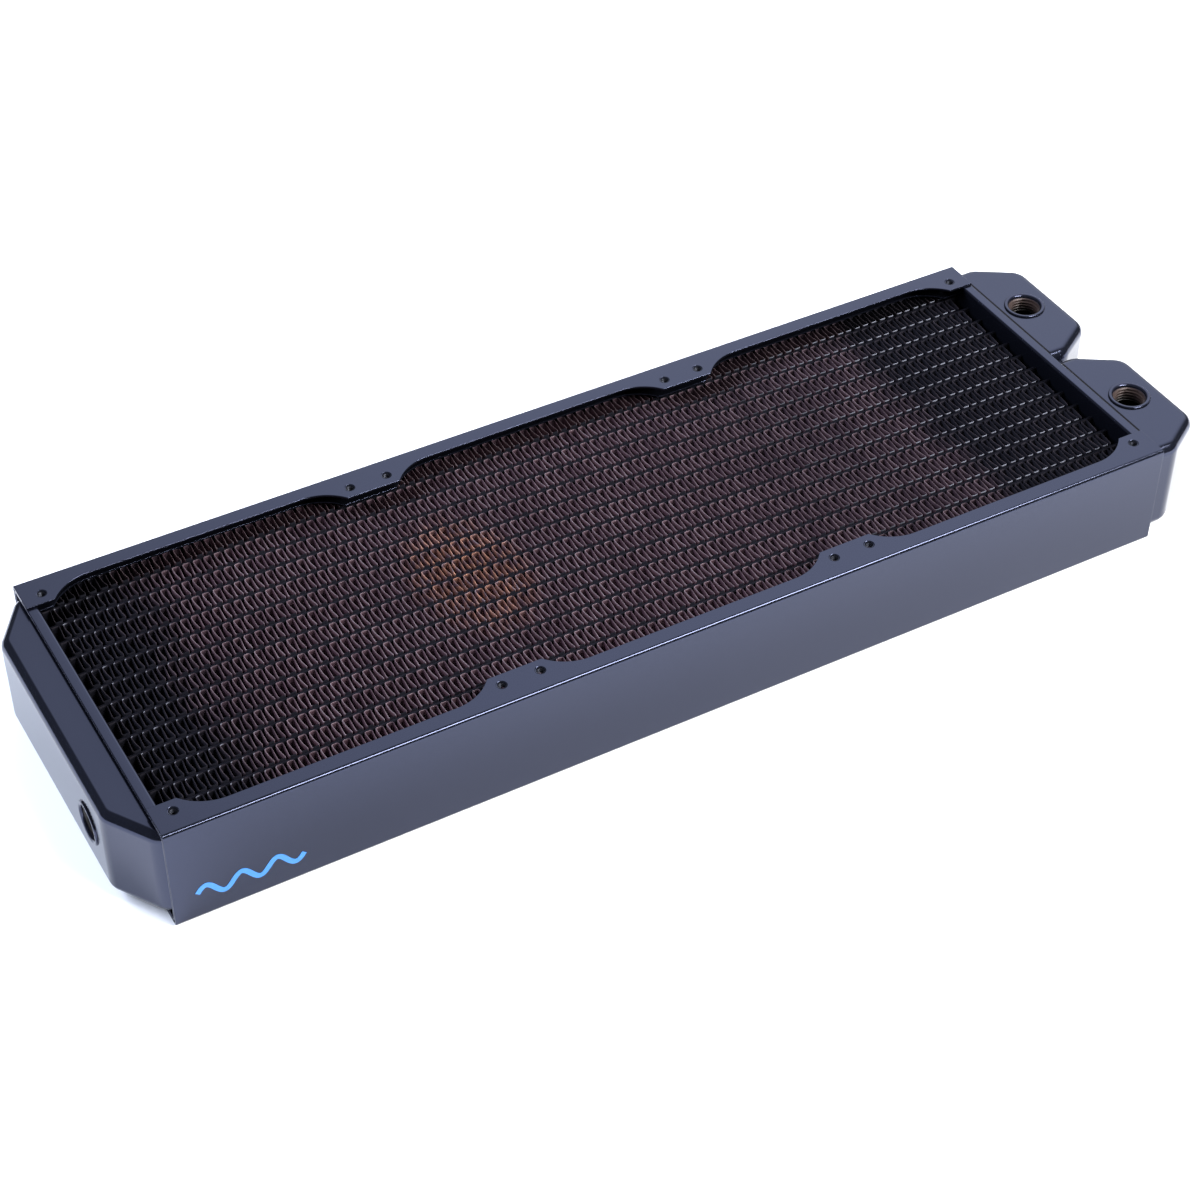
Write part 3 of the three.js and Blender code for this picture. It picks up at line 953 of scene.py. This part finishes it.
def port_place(node):
    """Foot of a port's ring on its tank, and the way that it faces."""
    low, high = box_mm(node)
    middle = (low + high) / 2
    size = high - low
    axis = min(range(3), key=lambda i: size[i])
    owner_low, owner_high = box_mm(PORT_OWNERS[node])
    owner_middle = (owner_low[axis] + owner_high[axis]) / 2
    direction = 1 if middle[axis] > owner_middle else -1
    normal = Vector((0, 0, 0))
    normal[axis] = direction
    outer = high[axis] if direction > 0 else low[axis]
    place = Vector(middle)
    place[axis] = outer - direction * RING_HEIGHT
    return place, normal


PORT_OWNERS = {"return_port": "return_tank"}
for use in ("inlet", "outlet"):
    for side in ("top", "bottom", "end"):
        PORT_OWNERS[f"{use}_port_{side}"] = f"{use}_tank"


def mark_port(obj, place, normal):
    """Stores how bare a bushing is, from its painted ring down its thread, and its painted shade: deep
    in the thread, and all through ports that don't face up.
    """
    depths = [(place - vertex.co / MM).dot(normal) for vertex in obj.data.vertices]
    store(obj, "bare", [ramp(depth, *BARE_DEPTHS) for depth in depths])
    sheltered_shade = 0.0 if normal.z > 0 else SHELTERED_SHADE
    store(obj, "deep", [max(sheltered_shade, ramp(depth, *THREAD_SHADE_DEPTHS)) for depth in depths])


# ---- Printed mark --------------------------------------------------------------------------------


def printed_mark():
    """A wave with square ends, a little proud of the near panel."""
    low, high = box_mm("printed_mark")
    centre_x, centre_z = (low.x + high.x) / 2, (low.z + high.z) / 2
    amplitude = (high.z - low.z) / 2 - MARK_STROKE / 2
    turns = MARK_WAVES * 2 * math.pi
    left, right = [], []
    for k in range(MARK_STEPS + 1):
        along = (k / MARK_STEPS - 0.5) * MARK_LENGTH
        phase = k / MARK_STEPS * turns
        slope = turns / MARK_LENGTH * amplitude * math.cos(phase)
        across = Vector((-slope, 1)).normalized() * MARK_STROKE / 2
        point = Vector((centre_x + along, centre_z + amplitude * math.sin(phase)))
        left.append(point + across)
        right.append(point - across)
    outline = right + left[::-1]
    loops = [[(x, y, z) for x, z in outline] for y in (high.y, low.y)]
    made = new_object("mark", *skin(loops))
    face_outwards(made)
    smooth(made, angle=40, weighted=False)
    return made


# ---- Materials -----------------------------------------------------------------------------------


class Shader:
    """A Principled material and short names for the nodes that feed it."""

    def __init__(self, name):
        self.material = bpy.data.materials.new(name)
        self.material.use_nodes = True
        self.tree = self.material.node_tree
        self.surface = self.tree.nodes["Principled BSDF"]
        self.place = self.tree.nodes.new("ShaderNodeTexCoord").outputs["Object"]

    def link(self, value, socket):
        """Feeds a socket from another node's output, or gives it a fixed value."""
        if isinstance(value, bpy.types.NodeSocket):
            self.tree.links.new(value, socket)
        else:
            socket.default_value = value

    def set(self, **values):
        for name, value in values.items():
            self.link(value, self.surface.inputs[name.replace("_", " ")])

    def noise(self, scale, detail):
        node = self.tree.nodes.new("ShaderNodeTexNoise")
        node.inputs["Scale"].default_value = scale
        node.inputs["Detail"].default_value = detail
        self.tree.links.new(self.place, node.inputs["Vector"])
        return node.outputs["Fac"]

    def math(self, operation, a, b):
        node = self.tree.nodes.new("ShaderNodeMath")
        node.operation = operation
        self.link(a, node.inputs[0])
        self.link(b, node.inputs[1])
        return node.outputs[0]

    def remap(self, value, low, high, to_low=0.0, to_high=1.0):
        node = self.tree.nodes.new("ShaderNodeMapRange")
        node.interpolation_type = "SMOOTHSTEP"
        self.link(value, node.inputs["Value"])
        node.inputs["From Min"].default_value = low
        node.inputs["From Max"].default_value = high
        node.inputs["To Min"].default_value = to_low
        node.inputs["To Max"].default_value = to_high
        return node.outputs["Result"]

    def mix(self, factor, a, b):
        """A colour between a and b. Either is a colour or another node's output."""
        node = self.tree.nodes.new("ShaderNodeMix")
        node.data_type = "RGBA"
        a_colour, b_colour, colour = node.inputs[6], node.inputs[7], node.outputs[2]
        self.link(factor, node.inputs["Factor"])
        self.link(a if isinstance(a, bpy.types.NodeSocket) else (*a, 1), a_colour)
        self.link(b if isinstance(b, bpy.types.NodeSocket) else (*b, 1), b_colour)
        return colour

    def times(self, *values):
        product = values[0]
        for value in values[1:]:
            product = self.math("MULTIPLY", product, value)
        return product

    def one_minus(self, value):
        return self.math("SUBTRACT", 1.0, value)

    def axis(self, name):
        node = self.tree.nodes.new("ShaderNodeSeparateXYZ")
        self.tree.links.new(self.place, node.inputs[0])
        return node.outputs[name]

    def stored(self, name):
        """A value kept on the mesh, 0 where a mesh has none."""
        node = self.tree.nodes.new("ShaderNodeAttribute")
        node.attribute_name = name
        return node.outputs["Fac"]

    def bump(self, height, distance, strength):
        node = self.tree.nodes.new("ShaderNodeBump")
        node.inputs["Distance"].default_value = distance
        node.inputs["Strength"].default_value = strength
        self.tree.links.new(height, node.inputs["Height"])
        self.tree.links.new(node.outputs["Normal"], self.surface.inputs["Normal"])


def paint_material():
    """Satin blue-black paint: almost no colour of its own, a cool sheen and a faint orange peel.
    Painted shade darkens it inside the screw holes, and a painted shadow lies where the horns leave
    their header.
    """
    paint = Shader("satin_paint")
    grain = paint.noise(scale=900, detail=2)
    colour = paint.mix(paint.noise(scale=9, detail=2), *PAINT_TONES)
    x = paint.axis("X")
    seam_start = (BODY_END + SEAM_GAP) * MM
    seam_end = (BODY_END + SEAM_WIDTH) * MM
    fade = SEAM_FADE * MM
    # A painted shadow: a dark band round each horn just beyond its header
    seam = paint.times(
        paint.remap(x, seam_start, seam_start + fade),
        paint.remap(x, seam_end, seam_end + fade, to_low=1, to_high=0),
    )
    # Painted shade inside the screw holes
    hole_shade = paint.stored("deep")
    dull = paint.times(paint.math("MAXIMUM", hole_shade, seam), DULL_ROUGHNESS)
    sheen = paint.remap(grain, *NOISE_RANGE, to_low=0.15, to_high=0.18)
    paint.set(
        Base_Color=paint.mix(seam, paint.mix(hole_shade, colour, HOLE_SHADE_TONE), SEAM_SHADOW_TONE),
        Metallic=PAINT_METALLIC,
        Roughness=paint.math("MAXIMUM", dull, sheen),
    )
    paint.bump(grain, distance=0.000004, strength=0.25)
    return paint.material


def fin_coat(foil, x):
    """How much black overspray covers the fins, from 0 to 1: most at both ends of the core. Over the
    middle it also makes the fins darker towards +X.
    """
    patchy = foil.times(foil.math("SUBTRACT", foil.noise(scale=60, detail=2), 0.5), COAT_UNEVENNESS)
    along = foil.math("ADD", x, patchy)
    left = foil.remap(along, *LEFT_COAT, to_low=1, to_high=0)
    right = foil.remap(along, *RIGHT_COAT)
    rightward_darkening = foil.remap(along, *RIGHTWARD_DARKENING, to_low=0, to_high=RIGHTWARD_DARKENING_AMOUNT)
    return foil.math("MAXIMUM", left, foil.math("MAXIMUM", right, rightward_darkening))


def fin_glow(foil, x):
    """How strong the painted warm glow is, from 0 to 1, in one patch: bare copper lit with painted
    orange light.
    """
    aside = foil.times(foil.math("SUBTRACT", x, GLOW_X), GLOW_FADE_X)
    across = foil.times(foil.math("SUBTRACT", foil.axis("Y"), GLOW_Y), GLOW_FADE_Y)
    away = foil.math("ADD", foil.times(aside, aside), foil.times(across, across))
    patch = foil.remap(away, 0.0, GLOW_EDGE, to_low=GLOW_MOST, to_high=0)
    return foil.times(patch, foil.remap(foil.noise(scale=330, detail=2), 0.35, 0.65))


def fin_material():
    """Copper foil under black overspray, scuffed along its top edges. Painted light is in its colour
    too: painted highlights along those edges, painted glints on the black ends, painted shade in the
    pockets by the near crests and a painted warm glow in one patch.
    """
    foil = Shader("fin_foil")
    x = foil.axis("X")
    painted = fin_coat(foil, x)
    glow = fin_glow(foil, x)
    folds = foil.noise(scale=420, detail=2)
    from_top = foil.math("SUBTRACT", FIN_TOP * MM, foil.axis("Z"))
    edge_wear_and_highlight = foil.stored("edge_wear_and_highlight")

    brown = foil.mix(foil.remap(folds, 0.3, 0.7), *FOIL_BROWN)
    # Painted highlight: the top few millimetres of the highlit parts are lighter
    lit = foil.times(edge_wear_and_highlight, foil.remap(from_top, *LIT_DEPTHS, to_low=1, to_high=0))
    copper = foil.mix(lit, foil.mix(glow, brown, FOIL_COPPER_GLOW), foil.mix(glow, *FOIL_LIT))
    # Painted shade in the pockets by the near crests, blackened like the overspray
    pocket = foil.math("POWER", foil.stored("pocket_shade"), POCKET_SHARPNESS)
    coat_and_pocket_shade = foil.math("MAXIMUM", painted, pocket)
    body = foil.mix(coat_and_pocket_shade, copper, foil.mix(folds, *FOIL_BLACK))

    # Painted highlight with some wear along the very top edge
    edge = foil.remap(from_top, *RUBBED_AND_HIGHLIT_DEPTHS, to_low=1, to_high=0)
    rubbed_and_highlit = foil.times(edge_wear_and_highlight, foil.one_minus(foil.times(painted, COAT_HIDES)), edge)
    glint = foil.times(foil.stored("glint"), foil.remap(from_top, *GLINT_DEPTHS, to_low=1, to_high=0))
    finish = foil.mix(rubbed_and_highlit, body, foil.mix(glow, *FOIL_RUBBED_AND_HIGHLIT))
    foil.set(
        Base_Color=foil.mix(glint, finish, FOIL_GLINT),
        Metallic=foil.times(foil.one_minus(coat_and_pocket_shade), 0.5),
        Roughness=foil.remap(folds, *NOISE_RANGE, to_low=0.32, to_high=0.5),
        Specular_IOR_Level=foil.times(foil.one_minus(coat_and_pocket_shade), 0.4),
    )
    foil.bump(foil.noise(scale=1500, detail=2), distance=0.00003, strength=0.4)
    return foil.material


def tube_material():
    """Brass tube under black overspray that is thick at both ends."""
    tube = Shader("tube_brass")
    speck = tube.noise(scale=700, detail=3)
    x = tube.axis("X")
    left = tube.remap(x, *TUBE_LEFT_COAT, to_low=1, to_high=0)
    right = tube.remap(x, *TUBE_RIGHT_COAT)
    thick = tube.math("MAXIMUM", left, right)
    tube.set(
        Base_Color=tube.mix(thick, tube.mix(speck, *TUBE_THIN_COAT), TUBE_THICK_COAT),
        Roughness=tube.remap(speck, *NOISE_RANGE, to_low=0.65, to_high=0.85),
        Specular_IOR_Level=0.02,
    )
    tube.bump(speck, distance=0.00006, strength=0.6)
    return tube.material


def port_material():
    """Brass bushing: painted ring outside, bare copper-brown thread inside that painted shade darkens
    deep down and in ports that don't face up.
    """
    port = Shader("port_brass")
    stain = port.noise(scale=500, detail=3)
    bare = port.stored("bare")
    inside = port.mix(port.stored("deep"), port.mix(stain, *THREAD_TONES), THREAD_SHADE_TONE)
    polish = port.remap(stain, *NOISE_RANGE, to_low=0.16, to_high=0.2)
    port.set(
        Base_Color=port.mix(bare, RING_TONE, inside),
        Metallic=port.math("SUBTRACT", PAINT_METALLIC, port.times(bare, 0.6)),
        Roughness=port.math("ADD", port.times(bare, 0.25), polish),
    )
    port.bump(stain, distance=0.000006, strength=0.3)
    return port.material


def print_material():
    """Pad-printed blue ink, with the slight unevenness of a thin film."""
    ink = Shader("blue_ink")
    speck = ink.noise(scale=1200, detail=2)
    ink.set(
        Base_Color=ink.mix(speck, *INK_TONES),
        Roughness=ink.remap(speck, *NOISE_RANGE, to_low=0.38, to_high=0.5),
    )
    ink.bump(speck, distance=0.00001, strength=0.4)
    return ink.material


def floor_material():
    """A pale floor that fades into the pale backdrop far from the object."""
    ground = Shader("pale_floor")
    distance = ground.tree.nodes.new("ShaderNodeVectorMath")
    distance.operation = "LENGTH"
    ground.link(ground.place, distance.inputs[0])
    seen = ground.tree.nodes.new("ShaderNodeLightPath").outputs["Is Camera Ray"]
    fade = ground.remap(distance.outputs["Value"], *FLOOR_FADE)
    ground.set(
        Base_Color=ground.mix(ground.noise(scale=3, detail=2), *FLOOR_TONES),
        Roughness=0.85,
        Emission_Color=(1, 1, 1, 1),
        Emission_Strength=ground.times(fade, seen, BACKDROP_STRENGTH),
    )
    return ground.material


# ---- The object ----------------------------------------------------------------------------------


def build_radiator():
    paint = paint_material()
    add_both_sides(side_panel, "side_panel", paint)
    add_both_sides(core_side_plate, "core_side_plate", paint)

    tube_finish = tube_material()
    for node in TUBE_NODES:
        finish_piece(flat_tube(node), node, tube_finish)

    fin_finish = fin_material()
    for number, node in enumerate(FIN_NODES, start=1):
        finish_piece(fin_strip(node, number), node, fin_finish)

    for node, direction in (("header_connection_end", 1), ("header_return_end", -1)):
        finish_piece(header(node, direction), node, paint)
    finish_piece(divider(), "tank_divider", paint)

    for node, corners_of, edge_radius in (
        ("inlet_tank", horn_corners, HORN_EDGE_RADIUS),
        ("outlet_tank", horn_corners, HORN_EDGE_RADIUS),
        ("return_tank", return_corners, RETURN_EDGE_RADIUS),
    ):
        low, high = box_mm(node)
        ports = [port_place(port) for port, owner in PORT_OWNERS.items() if owner == node]
        shell = tank(corners_of(low, high), low.z, high.z, edge_radius, ports)
        finish_piece(shell, node, paint)

    port_finish = port_material()
    for node in PORT_OWNERS:
        place, normal = port_place(node)
        bushing = port_bushing(node, place, normal)
        mark_port(bushing, place, normal)
        finish_piece(bushing, node, port_finish)

    finish_piece(printed_mark(), "printed_mark", print_material())


build_radiator()


# ---- Stage, light and camera. Lights are placed in metres -----------------------------------------


def build_floor():
    corners = [(-1, -1), (1, -1), (1, 1), (-1, 1)]
    verts = [(x * FLOOR_HALF, y * FLOOR_HALF, FLOOR_LEVEL) for x, y in corners]
    floor = new_object("floor", verts, [(0, 1, 2, 3)])
    floor.data.materials.append(floor_material())


def soft_light(name, place, target, size, power, colour=(1, 1, 1)):
    data = bpy.data.lights.new(name, "AREA")
    data.shape = "RECTANGLE"
    data.size, data.size_y = size
    data.energy = power
    data.color = colour
    lamp = bpy.data.objects.new(name, data)
    lamp.location = place
    lamp.visible_camera = False
    lamp.rotation_mode = "QUATERNION"
    lamp.rotation_quaternion = (Vector(target) - Vector(place)).to_track_quat("-Z", "Y")
    bpy.context.scene.collection.objects.link(lamp)
    return lamp


def build_lights():
    """One light that the rounded edges catch, and two for the floor that the walls mirror."""
    soft_light(
        "front",
        place=(0.85, -1.05, 2.05),
        target=(0.05, 0, 0),
        size=(1.4, 0.4),
        power=73,
    )
    left = soft_light(
        "left",
        place=(-1.25, 0.95, 1.2),
        target=(-0.15, 0, 0.02),
        size=(1.6, 0.6),
        power=65,
        colour=LEFT_LIGHT_TINT,
    )
    right = soft_light(
        "right",
        place=(1.2, -0.95, 0.75),
        target=(0.05, -0.15, 0.0),
        size=(0.5, 0.45),
        power=62,
    )
    left.visible_glossy = False
    right.visible_glossy = False


def build_studio():
    """A dim room with one broad bright wall behind the ports, and a pale backdrop for the camera."""
    world = bpy.data.worlds.new("studio")
    world.use_nodes = True
    nodes, links = world.node_tree.nodes, world.node_tree.links
    towards_wall = nodes.new("ShaderNodeVectorMath")
    towards_wall.operation = "DOT_PRODUCT"
    towards_wall.inputs[1].default_value = WALL_DIRECTION
    links.new(nodes.new("ShaderNodeTexCoord").outputs["Generated"], towards_wall.inputs[0])
    wall = nodes.new("ShaderNodeMapRange")
    wall.interpolation_type = "SMOOTHSTEP"
    wall.inputs["From Min"].default_value = WALL_EDGE
    wall.inputs["To Min"].default_value = STUDIO_STRENGTH
    wall.inputs["To Max"].default_value = WALL_STRENGTH
    links.new(towards_wall.outputs["Value"], wall.inputs["Value"])
    strength = nodes.new("ShaderNodeMapRange")
    strength.inputs["To Max"].default_value = BACKDROP_STRENGTH
    links.new(nodes.new("ShaderNodeLightPath").outputs["Is Camera Ray"], strength.inputs["Value"])
    links.new(wall.outputs["Result"], strength.inputs["To Min"])
    background = nodes["Background"]
    background.inputs["Color"].default_value = (*STUDIO_TINT, 1)
    links.new(strength.outputs["Result"], background.inputs["Strength"])
    bpy.context.scene.world = world
    bpy.context.scene.view_settings.view_transform = "Standard"


def build_camera():
    data = bpy.data.cameras.new("camera")
    data.sensor_width = CAMERA_SENSOR
    data.lens = CAMERA_LENS
    camera = bpy.data.objects.new("camera", data)
    forward = Vector(CAMERA_FORWARD).normalized()
    up = Vector(CAMERA_RIGHT).cross(forward).normalized()
    right = forward.cross(up)
    turn = Matrix((right, up, -forward)).transposed().to_4x4()
    camera.matrix_world = Matrix.Translation(CAMERA_PLACE) @ turn
    bpy.context.scene.collection.objects.link(camera)
    bpy.context.scene.camera = camera


build_floor()
build_lights()
build_studio()
build_camera()
